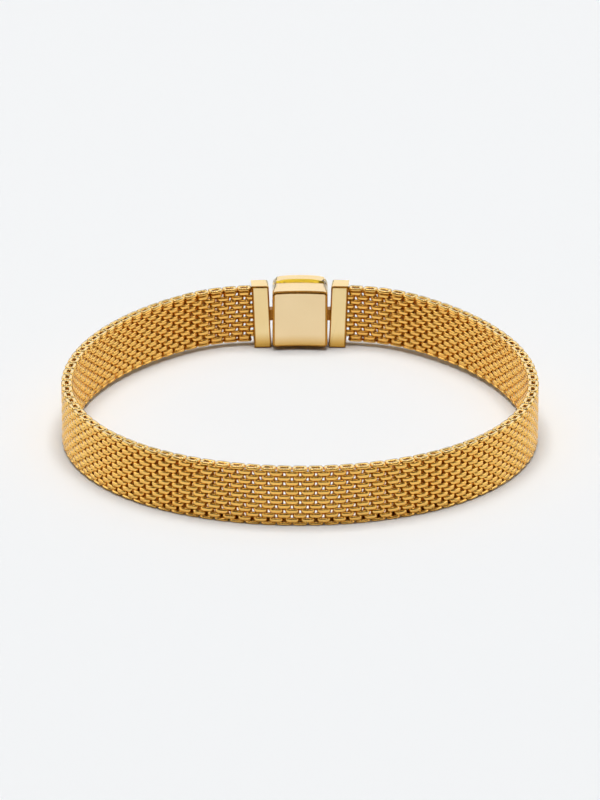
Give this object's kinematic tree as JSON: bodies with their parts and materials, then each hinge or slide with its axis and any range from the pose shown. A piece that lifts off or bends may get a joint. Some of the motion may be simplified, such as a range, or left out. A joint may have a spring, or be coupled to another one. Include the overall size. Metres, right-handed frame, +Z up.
{
  "type": "mesh bracelet",
  "caption": "Woven metal mesh bracelet closed in a round loop, with an end cap on each end and a box clasp whose arched lid is hinged at one end.",
  "frame": {"origin": "centre of the object's outline on the floor it stands on", "axes": "+Z up across the width of the band, +Y through the middle of the clasp, +X along the clasp"},
  "size_m": [0.0644, 0.068, 0.0092],
  "materials": {
    "woven_gold": "gold-plated wire, bright",
    "polished_gold": "gold-plated, polished",
    "satin_gold": "gold-plated, fine satin",
    "steel_pin": "plain steel"
  },
  "bodies": {
    "bracelet": {"mesh_band": "woven_gold", "left_end_cap": "polished_gold", "right_end_cap": "polished_gold", "clasp_tray": "satin_gold", "hinge_pin": "steel_pin"},
    "lid": {"clasp_lid": "polished_gold"}
  },
  "joints": [
    {"name": "lid_hinge", "type": "hinge", "parent": "bracelet", "child": "lid", "pos_m": [-0.00281, 0.03267, 0.0046], "axis": [0, 0, 1], "range_deg": [0, 90]}
  ]
}
